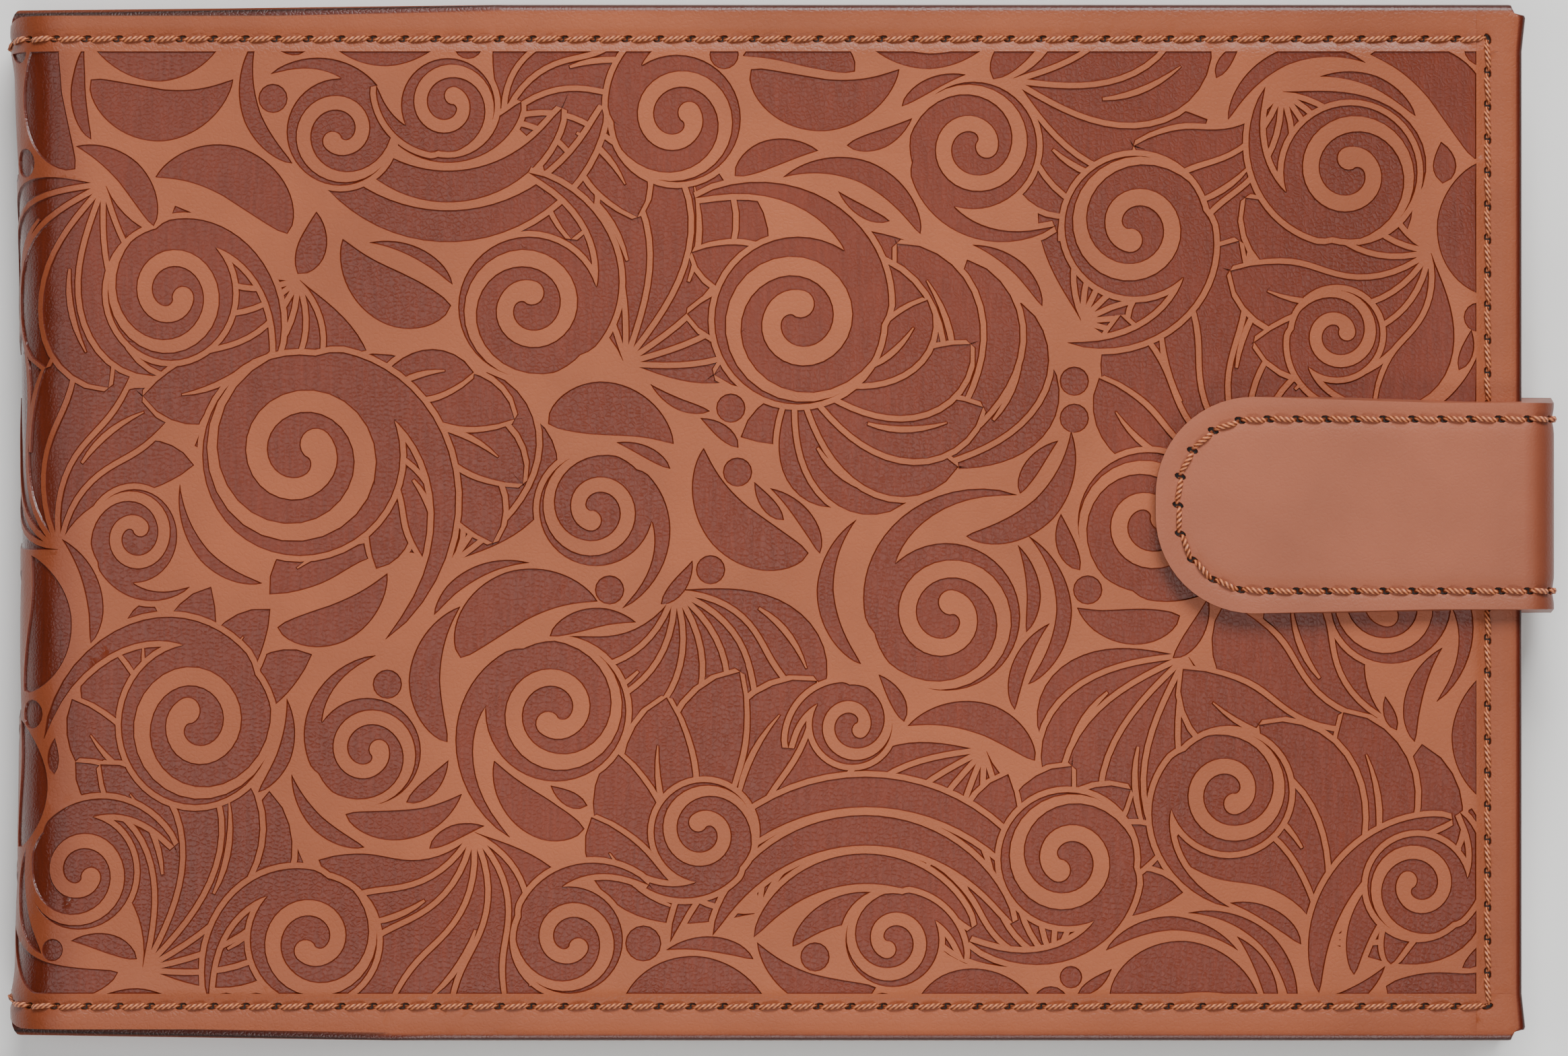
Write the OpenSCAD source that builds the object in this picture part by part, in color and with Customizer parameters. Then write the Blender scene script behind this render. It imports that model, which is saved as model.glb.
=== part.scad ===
// Leather notebook cover with a magnetic strap, holding a card-covered paper refill.
// X runs from the spine to the fore-edge, Y from tail to head, Z from back cover to front cover.
// The closed book lies on its back cover, centred on the origin.

/* [Cover] */
// Width of the closed cover, from the spine to the fore-edge
cover_w = 225.5; // [224:0.5:240]
// Height of the cover, from tail to head
cover_h = 153.9; // [150:0.1:165]
// Thickness of the closed cover, without the strap
closed_t = 21; // [19:0.5:26]
// Outer radius of the leather where it rolls over the spine
roll_r = 8.5; // [8:0.5:9]
// Radius of the spine corners, seen from the front
spine_corner_r = 2.6; // [2:0.2:4]
// Radius of the fore-edge corners, seen from the front
fore_corner_r = 1.2; // [0.6:0.2:2.4]

/* [Layers] */
// Thickness of the outer leather
leather_t = 1; // [0.8:0.1:1.1]
// Thickness of the soft padding under the leather
padding_t = 0.6; // [0.4:0.1:0.8]
// Thickness of the cover board
board_t = 1.8; // [1.4:0.1:2]
// Thickness of the lining
lining_t = 0.5; // [0.4:0.1:0.6]
// Thickness of the pocket leather
pocket_t = 0.6; // [0.5:0.1:0.7]
// How far the pocket reaches in from the fore-edge
pocket_w = 68; // [50:1:90]

/* [Seams] */
// Distance of the head and tail seams from the edge
seam_in = 5.1; // [4.8:0.1:5.3]
// Distance of the fore-edge seam from the edge
seam_fore_in = 5.1; // [4.9:0.1:5.4]
// Width of the sewing thread
thread_w = 0.8; // [0.6:0.1:1]

/* [Strap] */
// Width of the strap
strap_w = 32.1; // [28:0.1:36]
// Offset of the strap's middle from the cover's middle
strap_y = 2.6; // [-4:0.1:4]
// How far the strap stands out past the fore-edge
strap_out = 4.9; // [4.7:0.1:5.2]
// Length of the strap that lies over the front cover
tongue_reach = 54.5; // [45:0.5:70]
// Thickness of the strap's outer leather
strap_leather_t = 1.2; // [1.1:0.1:1.3]
// Thickness of the strap's lining leather
strap_lining_t = 0.9; // [0.8:0.1:1]
// Outer radius of the strap's bends
bend_r = 4.4; // [4.4:0.1:4.6]
// Radius of the tongue's rounded end
tip_r = 14.5; // [12:0.1:16]
// Distance of the strap's seam from its edge
strap_seam_in = 3.3; // [2.5:0.1:4]
// Diameter of the strap's magnet
magnet_d = 14; // [10:1:16]

/* [Refill] */
// Width of the refill's card covers
card_w = 215; // [200:0.5:215]
// Height of the refill's card covers
card_h = 139.5; // [130:0.5:139.5]
// Thickness of each card cover
card_t = 0.5; // [0.3:0.1:0.5]

/* [Hidden] */

$fn = 64;
eps = 0.02;
far = 400;

// Plan of the cover
spine_x = -(cover_w + strap_out) / 2;
fore_x = spine_x + cover_w;
half_h = cover_h / 2;
roll_x = spine_x + roll_r;

// Depths below the cover's outer face, layer by layer
fold_d = 2 * leather_t;
board_d = leather_t + padding_t;
lining_d = board_d + board_t;
card_d = lining_d + lining_t;
pocket_d = card_d + card_t;
inside_d = pocket_d + pocket_t;

// Insets from the cover's edge
turn_in = 6.3;
board_in = 6.5;
lining_edge_in = 1.5;
slope_in = 4.85;
board_start_x = spine_x + 11;
pocket_start_x = fore_x - pocket_w;

// The leather parts half-way round each roll, so that each side follows its own body
part_gap = 0.3;
body_gap = 0.3;

// Threads lie in a shallow groove
thread_d = 0.5;
seam_y = half_h - seam_in;
seam_x = fore_x - seam_fore_in;

// Refill
card_x = spine_x + 3.6;
tape_t = 0.3;
block_bottom = inside_d;
block_top = closed_t - (card_d + pocket_t) - body_gap - card_t;

// Strap
strap_t = strap_leather_t + strap_lining_t;
strap_x = fore_x + strap_out;
bend_x = strap_x - bend_r;
root_z = fold_d;
strap_top_z = closed_t + body_gap + strap_t;
tip_x = fore_x - tongue_reach;
tip_flat = strap_w - 2 * tip_r;
anchor_in = 6.2;
bend_hinge_in = 1.77;
bend_relief_r = 1;
magnet_x = tip_x + tip_r + 1.5;
magnet_t = 1;
keeper_t = 0.8;

leather_colour = [0.63, 0.36, 0.24];
lining_colour = [0.44, 0.27, 0.18];
thread_colour = [0.82, 0.5, 0.32];
board_colour = [0.55, 0.53, 0.48];
padding_colour = [0.85, 0.84, 0.78];
card_colour = [0.72, 0.62, 0.47];
paper_colour = [0.95, 0.92, 0.84];
steel_colour = [0.7, 0.71, 0.73];

// ---- Shared shapes -------------------------------------------------------

// Turns a back-cover shape into the front cover's, face for face
module as_front() {
    translate([0, 0, closed_t]) mirror([0, 0, 1]) children();
}

// Pulls an X-Z outline along Y, from y0 to y1
module along_y(y0, y1) {
    translate([0, y1, 0]) rotate([90, 0, 0]) linear_extrude(y1 - y0) children();
}

// Pulls an X-Z outline along Y over both ends of the cover, from y0 to y1 on each side
module at_both_ends(y0, y1) {
    along_y(y0, y1) children();
    along_y(-y1, -y0) children();
}

// Part of a ring between two angles less than a straight angle apart
module ring_part(r_out, r_in, a0, a1) {
    am = (a0 + a1) / 2;
    intersection() {
        difference() {
            circle(r_out);
            circle(r_in);
        }
        polygon([
            [0, 0], far * [cos(a0), sin(a0)], far * [cos(am), sin(am)], far * [cos(a1), sin(a1)]
        ]);
    }
}

// A thin strip cut across a roll or bend at an angle, where two bodies part
module part_line(angle) {
    rotate(angle) translate([0, -part_gap / 2]) square([4 * roll_r, part_gap]);
}

// The cover's outline from the front, with its corners rounded
module cover_plan() {
    for (s = [-1, 1]) {
        translate([spine_x + spine_corner_r, s * (half_h - spine_corner_r)]) circle(spine_corner_r);
        translate([fore_x - fore_corner_r, s * (half_h - fore_corner_r)]) circle(fore_corner_r);
    }
    translate([spine_x, -half_h + spine_corner_r])
        square([cover_w - fore_corner_r, cover_h - 2 * spine_corner_r]);
    translate([spine_x + spine_corner_r, -half_h])
        square([cover_w - spine_corner_r - fore_corner_r, cover_h]);
    translate([fore_x - 2 * fore_corner_r, -half_h + fore_corner_r])
        square([2 * fore_corner_r, cover_h - 2 * fore_corner_r]);
}

module inside_plan() {
    intersection() {
        children();
        translate([0, 0, -far / 2]) linear_extrude(far) cover_plan();
    }
}

// One layer of a cover in X-Z, between depths d0 and d1, from half-way round the roll to x_end
module cover_layer(d0, d1, x_end) {
    translate([roll_x, d0]) square([x_end - roll_x, d1 - d0]);
    translate([roll_x, roll_r]) difference() {
        ring_part(roll_r - d0, roll_r - d1, 225, 270);
        part_line(225);
    }
}

// One layer of the spine in X-Z, from half-way round one roll to half-way round the other
module spine_layer(d0, d1) {
    translate([spine_x + d0, roll_r]) square([d1 - d0, closed_t - 2 * roll_r]);
    translate([roll_x, roll_r]) difference() {
        ring_part(roll_r - d0, roll_r - d1, 180, 225);
        part_line(225);
    }
    translate([roll_x, closed_t - roll_r]) difference() {
        ring_part(roll_r - d0, roll_r - d1, 135, 180);
        part_line(135);
    }
}

// A flat-bottomed pan with sides at 45 degrees: its floor is at depth d1 and its mouth at depth d0
module pan(d0, d1, mouth_in) {
    depth = d1 - d0;
    x1 = fore_x - mouth_in;
    y1 = half_h - mouth_in;
    intersection() {
        along_y(-half_h, half_h) polygon([
            [board_start_x, d0], [x1, d0], [x1 - depth, d1], [board_start_x, d1]
        ]);
        rotate([90, 0, 90]) translate([0, 0, spine_x]) linear_extrude(cover_w) polygon([
            [-y1, d0], [y1, d0], [y1 - depth, d1], [-y1 + depth, d1]
        ]);
    }
}

// A flat sheet between depths d0 and d1, from x0 to inset x_in and to inset y_in
module sheet(x0, x_in, y_in, d0, d1) {
    translate([x0, -half_h + y_in, d0])
        cube([fore_x - x_in - x0, cover_h - 2 * y_in, d1 - d0]);
}

// The strap's fixed end takes up this room between the turned-in leather and the lining
module anchor_room() {
    translate([fore_x - 7, strap_y - strap_w / 2 - 0.2, root_z])
        cube([7 + strap_out, strap_w + 0.4, strap_t + 0.1]);
}

// ---- Covers, written for the back cover ----------------------------------

// Outer leather, doubled where its edges are turned in at head, tail and fore-edge
module cover_leather() {
    difference() {
        inside_plan() difference() {
            along_y(-half_h, half_h) cover_layer(0, fold_d, fore_x);
            along_y(-half_h + turn_in, half_h - turn_in)
                cover_layer(leather_t, fold_d + 1, fore_x - turn_in);
        }
        cover_seam();
    }
}

// Perimeter thread on the cover's face: along the head, down the fore-edge and along the tail
module cover_seam() {
    at_both_ends(seam_y - thread_w / 2, seam_y + thread_w / 2)
        cover_layer(0, thread_d, seam_x + thread_w / 2);
    translate([seam_x - thread_w / 2, -seam_y, 0]) cube([thread_w, 2 * seam_y, thread_d]);
}

module cover_padding() {
    sheet(board_start_x, board_in, board_in, leather_t, board_d);
}

module cover_board() {
    sheet(board_start_x, board_in, board_in, board_d, lining_d);
}

// Lining: over the board, up its sides, over the turn-ins, and along under the roll of the spine
module cover_lining() {
    end_y = half_h - lining_edge_in;
    cavity_y = half_h - turn_in;
    difference() {
        union() {
            pan(fold_d, card_d, slope_in - 0.2);
            sheet(board_start_x, lining_edge_in, lining_edge_in, fold_d, fold_d + lining_t);
        }
        pan(fold_d - eps, lining_d, slope_in + 0.2 - eps);
    }
    along_y(-cavity_y + 0.1, cavity_y - 0.1) {
        cover_layer(leather_t, leather_t + lining_t, roll_x + eps);
        polygon([
            [roll_x, leather_t], [board_start_x + eps, lining_d],
            [board_start_x + eps, card_d], [roll_x, leather_t + lining_t]
        ]);
    }
    at_both_ends(cavity_y - 0.6, cavity_y - 0.1)
        cover_layer(leather_t, fold_d + lining_t, board_start_x + eps);
    at_both_ends(cavity_y - 0.6, end_y)
        cover_layer(fold_d, fold_d + lining_t, board_start_x + eps);
}

// Pocket leather: sewn round three sides, open towards the spine, with its inner face at depth d
module cover_pocket(d) {
    rim_d = fold_d + lining_t;
    intersection() {
        difference() {
            union() {
                pan(rim_d, d + pocket_t, slope_in - pocket_t);
                sheet(pocket_start_x, lining_edge_in, lining_edge_in, rim_d, rim_d + pocket_t);
            }
            pan(rim_d - eps, d, slope_in - eps);
        }
        translate([pocket_start_x, -half_h, 0]) cube([pocket_w, cover_h, inside_d]);
    }
}

module card(z) {
    translate([card_x, -card_h / 2, z]) cube([card_w, card_h, card_t]);
}

// The lining and pocket of the back cover pass over the strap's fixed end
module over_anchor(d0, d1) {
    y0 = strap_y - strap_w / 2 - 1;
    translate([fore_x - 6.9, y0, d0]) cube([6.9 - lining_edge_in, strap_w + 2, d1 - d0]);
}

// ---- Front cover ---------------------------------------------------------

module front_leather() color(leather_colour) as_front() cover_leather();

module front_padding() color(padding_colour) difference() {
    as_front() cover_padding();
    keeper_shape(0.1);
}

module front_board() color(board_colour) difference() {
    as_front() cover_board();
    keeper_shape(0.1);
}

module front_lining() color(lining_colour) as_front() cover_lining();

// The front pocket is empty and lies flat on the lining
module front_pocket() color(lining_colour) as_front() cover_pocket(card_d);

module front_seam() color(thread_colour) as_front() cover_seam();

// Steel plate let into the padding and board, which the strap's magnet holds to
module keeper_shape(room) {
    translate([magnet_x, strap_y, closed_t - leather_t - keeper_t - room])
        cylinder(h = keeper_t + room, d = magnet_d + 2 + 2 * room);
}

module keeper_plate() color(steel_colour) keeper_shape(0);

// ---- Spine ---------------------------------------------------------------

module spine_threads() {
    at_both_ends(seam_y - thread_w / 2, seam_y + thread_w / 2) spine_layer(0, thread_d);
}

module spine_leather() color(leather_colour) difference() {
    inside_plan() difference() {
        along_y(-half_h, half_h) spine_layer(0, fold_d);
        along_y(-half_h + turn_in, half_h - turn_in) spine_layer(leather_t, fold_d + 1);
    }
    spine_threads();
}

module spine_lining() color(lining_colour) {
    end_y = half_h - lining_edge_in;
    cavity_y = half_h - turn_in;
    along_y(-cavity_y + 0.1, cavity_y - 0.1) spine_layer(leather_t, leather_t + lining_t);
    at_both_ends(cavity_y - 0.6, cavity_y - 0.1) spine_layer(leather_t, fold_d + lining_t);
    at_both_ends(cavity_y - 0.6, end_y) spine_layer(fold_d, fold_d + lining_t);
}

module spine_seam() color(thread_colour) spine_threads();

// ---- Back cover ----------------------------------------------------------

module back_leather() color(leather_colour) cover_leather();

module back_padding() color(padding_colour) cover_padding();

module back_board() color(board_colour) cover_board();

module back_lining() color(lining_colour) {
    lift_d = root_z + strap_t;
    difference() {
        cover_lining();
        anchor_room();
    }
    over_anchor(lift_d + 0.1, lift_d + 0.1 + lining_t);
    translate([fore_x - 7.4, strap_y - strap_w / 2 - 1, lining_d])
        cube([0.5 + eps, strap_w + 2, lift_d + 0.1 + lining_t - lining_d]);
}

module back_pocket() color(lining_colour) {
    lift_d = root_z + strap_t + 0.1 + lining_t;
    difference() {
        cover_pocket(pocket_d);
        anchor_room();
        over_anchor(lift_d - lining_t, lift_d);
        translate([fore_x - 7.4 - 0.1, strap_y - strap_w / 2 - 1.1, lining_d])
            cube([0.7, strap_w + 2.2, lift_d - lining_d]);
    }
    over_anchor(lift_d, lift_d + pocket_t);
}

module back_seam() color(thread_colour) cover_seam();

// The refill's back card sits in the back pocket
module refill_back_card() color(card_colour) card(card_d);

// The refill's front card lies on its leaves, under the front cover
module refill_front_card() color(card_colour) card(block_top);

module page_block() color(paper_colour)
    translate([card_x + tape_t, -card_h / 2, block_bottom])
        cube([card_w - tape_t, card_h, block_top - block_bottom]);

// Cloth tape over the refill's glued back
module refill_spine_tape() color(card_colour)
    translate([card_x, -card_h / 2, pocket_d])
        cube([tape_t, card_h, block_top - pocket_d]);

// ---- Strap ---------------------------------------------------------------

// The strap's plan where it lies over the front cover, drawn in by an inset
module tongue_plan(inset) {
    for (s = [-1, 1])
        translate([tip_x + tip_r, strap_y + s * tip_flat / 2]) circle(tip_r - inset);
    translate([tip_x + inset, strap_y - tip_flat / 2]) square([tip_r, tip_flat]);
    translate([tip_x + tip_r, strap_y - strap_w / 2 + inset])
        square([far, strap_w - 2 * inset]);
}

// Room round a bend's hinge line, where the leather's outer side would crowd as it straightens
module bend_relief(angle) {
    reach = bend_r - bend_hinge_in;
    translate([bend_x + sign(cos(angle)) * reach, bend_z(angle) + sign(sin(angle)) * reach])
        circle(bend_relief_r);
}

function bend_z(angle) = angle < 90 ? strap_top_z - bend_r : root_z + bend_r;

// A quarter of a bend's ring, parted from its other half
module bend_part(angle, a0, a1, d0, d1) {
    difference() {
        translate([bend_x, bend_z(angle)]) difference() {
            ring_part(bend_r - d0, bend_r - d1, a0, a1);
            part_line(angle);
        }
        bend_relief(angle);
    }
}

module anchor_layer(d0, d1) {
    translate([fore_x - anchor_in, root_z + d0])
        square([bend_x - fore_x + anchor_in, d1 - d0]);
    bend_part(315, 270, 315, d0, d1);
}

module wall_layer(d0, d1) {
    translate([strap_x - d1, bend_z(315)]) square([d1 - d0, bend_z(45) - bend_z(315)]);
    bend_part(315, 315, 360, d0, d1);
    bend_part(45, 0, 45, d0, d1);
}

module tongue_layer(d0, d1) {
    translate([tip_x, strap_top_z - d1]) square([bend_x - tip_x, d1 - d0]);
    bend_part(45, 45, 90, d0, d1);
}

module across_strap(half_w) {
    along_y(strap_y - half_w, strap_y + half_w) children();
}

module strap_rows() {
    for (s = [-1, 1]) {
        y = strap_y + s * (strap_w / 2 - strap_seam_in);
        along_y(y - thread_w / 2, y + thread_w / 2) children();
    }
}

module magnet_shape(room) {
    translate([magnet_x, strap_y, strap_top_z - strap_leather_t - magnet_t / 2 - room])
        cylinder(h = magnet_t + 2 * room, d = magnet_d + 2 * room);
}

module in_tongue_plan(inset) {
    intersection() {
        children();
        linear_extrude(far) tongue_plan(inset);
    }
}

module strap_anchor_leather() color(leather_colour)
    across_strap(strap_w / 2) anchor_layer(0, strap_leather_t);

module strap_anchor_lining() color(lining_colour)
    across_strap(strap_w / 2) anchor_layer(strap_leather_t, strap_t);

module strap_wall_leather() color(leather_colour) difference() {
    across_strap(strap_w / 2) wall_layer(0, strap_leather_t);
    strap_rows() wall_layer(0, thread_d);
}

module strap_wall_lining() color(lining_colour)
    across_strap(strap_w / 2) wall_layer(strap_leather_t, strap_t);

module strap_wall_seam() color(thread_colour) strap_rows() wall_layer(0, thread_d);

module tongue_thread() {
    difference() {
        in_tongue_plan(strap_seam_in - thread_w / 2)
            across_strap(strap_w / 2) tongue_layer(0, thread_d);
        translate([0, 0, strap_top_z / 2]) linear_extrude(far)
            tongue_plan(strap_seam_in + thread_w / 2);
    }
}

module strap_tongue_leather() color(leather_colour) difference() {
    in_tongue_plan(0) across_strap(strap_w / 2) tongue_layer(0, strap_leather_t);
    tongue_thread();
    magnet_shape(0.05);
}

module strap_tongue_lining() color(lining_colour) difference() {
    in_tongue_plan(0) across_strap(strap_w / 2) tongue_layer(strap_leather_t, strap_t);
    magnet_shape(0.05);
}

module strap_tongue_seam() color(thread_colour) tongue_thread();

module strap_magnet() color(steel_colour) magnet_shape(0);

front_leather();
front_padding();
front_board();
front_lining();
front_pocket();
front_seam();
keeper_plate();
spine_leather();
spine_lining();
spine_seam();
back_leather();
back_padding();
back_board();
back_lining();
back_pocket();
back_seam();
refill_back_card();
refill_front_card();
page_block();
refill_spine_tape();
strap_anchor_leather();
strap_anchor_lining();
strap_wall_leather();
strap_wall_lining();
strap_wall_seam();
strap_tongue_leather();
strap_tongue_lining();
strap_tongue_seam();
strap_magnet();
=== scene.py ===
import bpy
import bmesh
import math
import random
import numpy as np
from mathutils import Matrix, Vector
from mathutils.geometry import delaunay_2d_cdt


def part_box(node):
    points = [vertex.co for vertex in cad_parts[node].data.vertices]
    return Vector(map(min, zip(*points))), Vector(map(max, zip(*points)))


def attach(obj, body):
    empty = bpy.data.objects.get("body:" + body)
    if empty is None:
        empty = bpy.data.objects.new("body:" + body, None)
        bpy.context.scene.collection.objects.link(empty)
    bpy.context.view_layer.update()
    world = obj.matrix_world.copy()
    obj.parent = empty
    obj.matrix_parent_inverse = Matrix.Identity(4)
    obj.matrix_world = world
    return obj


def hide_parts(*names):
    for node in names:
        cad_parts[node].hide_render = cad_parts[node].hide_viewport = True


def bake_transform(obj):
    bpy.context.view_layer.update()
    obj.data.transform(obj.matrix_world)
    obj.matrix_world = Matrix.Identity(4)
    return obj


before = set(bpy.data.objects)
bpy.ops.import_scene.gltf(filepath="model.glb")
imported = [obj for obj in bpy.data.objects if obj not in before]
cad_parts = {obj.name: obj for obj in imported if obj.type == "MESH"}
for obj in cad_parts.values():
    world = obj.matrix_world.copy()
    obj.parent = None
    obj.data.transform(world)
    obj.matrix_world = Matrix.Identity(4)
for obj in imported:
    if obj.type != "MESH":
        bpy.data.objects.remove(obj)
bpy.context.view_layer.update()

# ---- Studio -------------------------------------------------------------
# A long lens looks straight down on the closed cover, which lies on a pale table. The main soft
# light stands past its head, a weaker one past its tail, and two strip lights give the sheen.
MM = 0.001
cover_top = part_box("front_leather")[1].z
view_width = 0.2328
camera_height = 1.5
camera = bpy.data.objects.new("camera", bpy.data.cameras.new("camera"))
camera.data.sensor_width = 36
camera.data.lens = 36 * camera_height / view_width
camera.data.clip_end = 20
camera.location = (0.0007, -0.0008, cover_top + camera_height)
bpy.context.scene.collection.objects.link(camera)
bpy.context.scene.camera = camera


def area_light(name, place, aim, size, power):
    light = bpy.data.lights.new(name, "AREA")
    light.shape = "RECTANGLE"
    light.size, light.size_y = size
    light.energy = power
    lamp = bpy.data.objects.new(name, light)
    lamp.location = place
    lamp.rotation_euler = (Vector(aim) - Vector(place)).to_track_quat("-Z", "Y").to_euler()
    bpy.context.scene.collection.objects.link(lamp)


area_light("head_softbox", (0.25, 1.5, 1.5), (0, 0, 0), (1.0, 1.0), 62)
area_light("tail_fill", (0.1, -1.6, 1.3), (0, 0, 0), (1.0, 0.8), 22)
area_light("left_sheen", (-0.48, 0, 1.45), (-0.05, 0, 0), (0.42, 1.2), 4.0)
area_light("right_sheen", (0.52, -0.2, 1.45), (0.05, 0, 0), (0.42, 1.2), 2.4)

world = bpy.data.worlds.new("studio")
world.use_nodes = True
world.node_tree.nodes["Background"].inputs["Color"].default_value = (1, 1, 1, 1)
world.node_tree.nodes["Background"].inputs["Strength"].default_value = 0.1
bpy.context.scene.world = world

table = bmesh.new()
bmesh.ops.create_grid(table, x_segments=1, y_segments=1, size=6)
bmesh.ops.translate(table, verts=table.verts, vec=(0, 0, -0.25 * MM))
table_mesh = bpy.data.meshes.new("table")
table.to_mesh(table_mesh)
table.free()
table_top = bpy.data.objects.new("table", table_mesh)
bpy.context.scene.collection.objects.link(table_top)
table_paint = bpy.data.materials.new("table_paint")
table_paint.use_nodes = True
table_paint.node_tree.nodes["Principled BSDF"].inputs["Base Color"].default_value = (0.86, 0.86, 0.85, 1)
table_paint.node_tree.nodes["Principled BSDF"].inputs["Roughness"].default_value = 0.8
table_mesh.materials.append(table_paint)

# ---- Leather ornament ---------------------------------------------------
# The outer leather is pressed with a hot plate: curled blades, winding bands and small leaves
# sink into it, and the raised leather between them stays as narrow ridges. A shape is (outline,
# level), in millimetres from the spine's edge and mid-height; a later one lies over the earlier.
RAISED, PRESSED, HOLE = 0, 1, 2
ridge = 0.8
field_half_h = 70.0
field_end_x = 218.7
ornament = []


def stroke(path, half, grow=0.0, round_end=False):
    """The outline of a line that is drawn along path, half[i] wide on each side of it"""
    left, right = [], []
    last = len(path) - 1
    for i, (x, y) in enumerate(path):
        before, after = path[max(i - 1, 0)], path[min(i + 1, last)]
        dx, dy = after[0] - before[0], after[1] - before[1]
        size = math.hypot(dx, dy) or 1
        w = half[i] + grow
        left.append((x - dy / size * w, y + dx / size * w))
        right.append((x + dy / size * w, y - dx / size * w))
    cap = []
    if round_end:
        (x, y), (x0, y0) = path[-1], path[-2]
        turn = math.atan2(y - y0, x - x0) + math.pi / 2
        w = half[-1] + grow
        turns = [turn - math.pi * k / 9 for k in range(1, 9)]
        cap = [(x + w * math.cos(a), y + w * math.sin(a)) for a in turns]
    return left + cap + right[::-1]


def press(path, half):
    """A pressed line with a raised ridge round it"""
    ornament.append((stroke(path, half, ridge), RAISED))
    ornament.append((stroke(path, half), PRESSED))


def disc(x, y, r, points=44):
    turns = [math.tau * k / points for k in range(points)]
    return [(x + r * math.cos(a), y + r * math.sin(a)) for a in turns]


def blade(x, y, angle, length, width, bend, vein):
    """One curled leaf: narrow at its root, widest past its middle, with a pointed end"""
    n = 18
    a = math.radians(angle)
    dx, dy = length * math.cos(a), length * math.sin(a)
    mid_x, mid_y = x + dx / 2 - dy * bend * 2, y + dy / 2 + dx * bend * 2
    path, half = [], []
    for i in range(n):
        t = i / (n - 1)
        path.append((
            (1 - t) ** 2 * x + 2 * t * (1 - t) * mid_x + t * t * (x + dx),
            (1 - t) ** 2 * y + 2 * t * (1 - t) * mid_y + t * t * (y + dy),
        ))
        half.append(width * math.sin(math.pi * t ** 1.94) ** 0.75 if 0 < i < n - 1 else 0.05)
    press(path, half)
    if vein and length > 11:
        slit = path[7:15]
        half = [0.03 + 0.4 * math.sin(math.pi * (0.12 + 0.12 * i)) for i in range(8)]
        ornament.append((stroke(slit, half), RAISED))


def fan(x, y, first, last, count, length, bend):
    """Blades that spread from one point and all curl one way"""
    step = math.radians(abs(last - first)) / (count - 1)
    for i in range(count):
        t = i / (count - 1)
        size = length * (0.62 + 0.38 * math.sin(math.pi * (0.1 + 0.75 * t)))
        blade(x, y, first + (last - first) * t, size, min(0.47 * step, 0.17) * size, bend, i % 2 == 1)


def volute(x, y, r, turns, start, hand, tail):
    """A band that winds in to its eye, with its outer end sweeping away. hand is 1 for anticlockwise"""
    band = r * 0.2
    ornament.append((disc(x, y, r + ridge), RAISED))
    path, half = [], []
    for i in range(24):
        t = 1 - i / 23
        a = math.radians(start - hand * 150 * tail * t)
        away = r - band + r * 1.1 * tail * t ** 1.6
        path.append((x + away * math.cos(a), y + away * math.sin(a)))
        half.append(band * 1.2 * (1 - t) ** 0.6 * min(1, 0.2 + 4 * t) + 0.05)
    press(path, half)
    ornament.append((disc(x, y, r), PRESSED))
    path, half = [], []
    for i in range(48):
        t = i / 47
        a = math.radians(start + hand * (360 * turns * t + 6))
        away = r + 0.5 - r * 0.84 * t ** 0.82
        path.append((x + away * math.cos(a), y + away * math.sin(a)))
        half.append(0.35 + r * 0.08 * min(1, t * 3) + r * 0.05 * max(0, (t - 0.86) / 0.14))
    ornament.append((stroke(path, half, 0, True), RAISED))


def arcs(x, y, r, first, last, count, half_w):
    """Crescents one inside the other"""
    for k in range(count):
        away = r - k * (2 * half_w + 1.1)
        path, half = [], []
        for i in range(30):
            a = math.radians(first + 6 * k + (last - first - 12 * k) * i / 29)
            path.append((x + away * math.cos(a), y + away * math.sin(a)))
            half.append(max(0.05, half_w * math.sin(math.pi * i / 29) ** 0.6))
        press(path, half)


for spray in (
    (6, -4, 30, 140, 7, 34, 0.2), (14, 50, -150, -30, 7, 30, -0.2), (44, 36, 150, 280, 7, 30, 0.2),
    (66, -6, 60, 190, 8, 34, -0.2), (34, -40, 60, 170, 7, 32, 0.2), (20, -66, 20, 120, 7, 34, -0.2),
    (70, -46, -170, -60, 7, 32, 0.2), (100, -10, -160, -40, 8, 34, 0.22), (92, 24, 20, 150, 8, 34, -0.2),
    (74, 60, -60, 60, 6, 28, 0.2), (124, 44, -170, -50, 7, 30, 0.2), (136, 8, 40, 170, 8, 34, -0.2),
    (112, -58, 20, 150, 8, 36, 0.2), (146, -34, -150, -30, 7, 32, -0.2), (160, 30, -60, 80, 8, 34, 0.2),
    (150, 66, -60, 60, 6, 30, -0.2), (190, 64, -160, -40, 7, 32, 0.2), (186, 8, 20, 150, 8, 34, 0.2),
    (176, -20, -150, -20, 8, 34, -0.2), (206, -30, 100, 230, 7, 32, 0.2), (196, -62, 20, 150, 7, 34, -0.2),
    (212, 40, 120, 250, 7, 30, 0.2), (156, -66, 30, 140, 7, 30, 0.2), (52, 12, -80, 30, 6, 26, 0.2),
    (118, 22, -70, 30, 6, 28, -0.2),
):
    fan(*spray)
arcs(128, -70, 30, 20, 165, 4, 2.3)
arcs(66, 68, 24, 195, 345, 3, 2.4)
arcs(217, -66, 22, 95, 190, 3, 2.2)
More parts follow.
